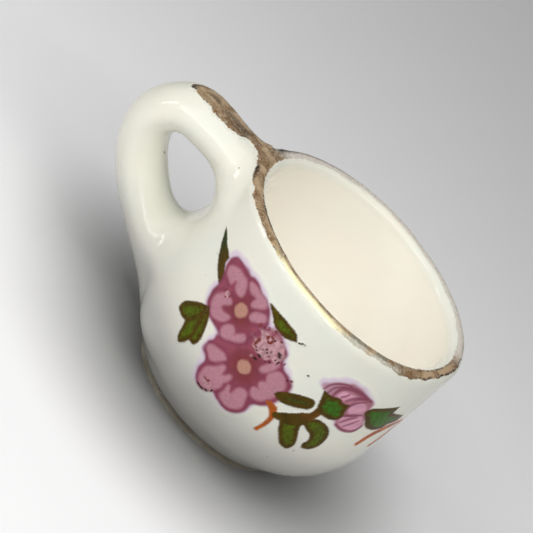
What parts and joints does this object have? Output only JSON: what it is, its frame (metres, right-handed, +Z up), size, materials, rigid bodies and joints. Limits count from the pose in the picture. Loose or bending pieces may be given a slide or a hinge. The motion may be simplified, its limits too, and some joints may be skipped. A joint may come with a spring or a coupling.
{
  "type": "miniature teacup",
  "caption": "Dolls house porcelain teacup with a chunky side handle, bare foot ring, gilded lip and handle, and a flower transfer on the front.",
  "frame": {"origin": "on the cup's axis, in the plane that the foot ring stands on", "axes": "+Z up along the cup's axis towards the mouth, -X towards the handle, -Y towards the flower spray"},
  "size_m": [0.023, 0.016, 0.0125],
  "materials": {
    "porcelain": "matt bare porcelain",
    "glaze": "glossy creamy white glaze",
    "gold_lustre": "thin hand-brushed gold lustre, glossy with ragged dark edges",
    "rose_enamel": "glossy dusty pink transfer with darker rose outlines",
    "peach_enamel": "glossy peach transfer",
    "leaf_enamel": "glossy green transfer with olive brown outlines",
    "olive_enamel": "glossy olive brown transfer",
    "orange_enamel": "glossy orange brown transfer"
  },
  "bodies": {
    "root": {"body_glaze": "glaze", "bud_calyx": "leaf_enamel", "cup_body": "porcelain", "foot_well_glaze": "glaze", "handle": "porcelain", "handle_gilding": "gold_lustre", "handle_glaze": "glaze", "left_hanging_leaf": "leaf_enamel", "lower_blossom": "rose_enamel", "lower_blossom_eye": "peach_enamel", "oval_leaf": "leaf_enamel", "right_hanging_leaf": "leaf_enamel", "rim_gilding": "gold_lustre", "rim_leaf": "leaf_enamel", "rosebud": "rose_enamel", "side_leaf": "leaf_enamel", "spear_leaf": "leaf_enamel", "tendril": "orange_enamel", "tip_leaf": "leaf_enamel", "trailing_tendrils": "orange_enamel", "twig": "olive_enamel", "upper_blossom": "rose_enamel", "upper_blossom_eye": "peach_enamel"}
  },
  "joints": []
}
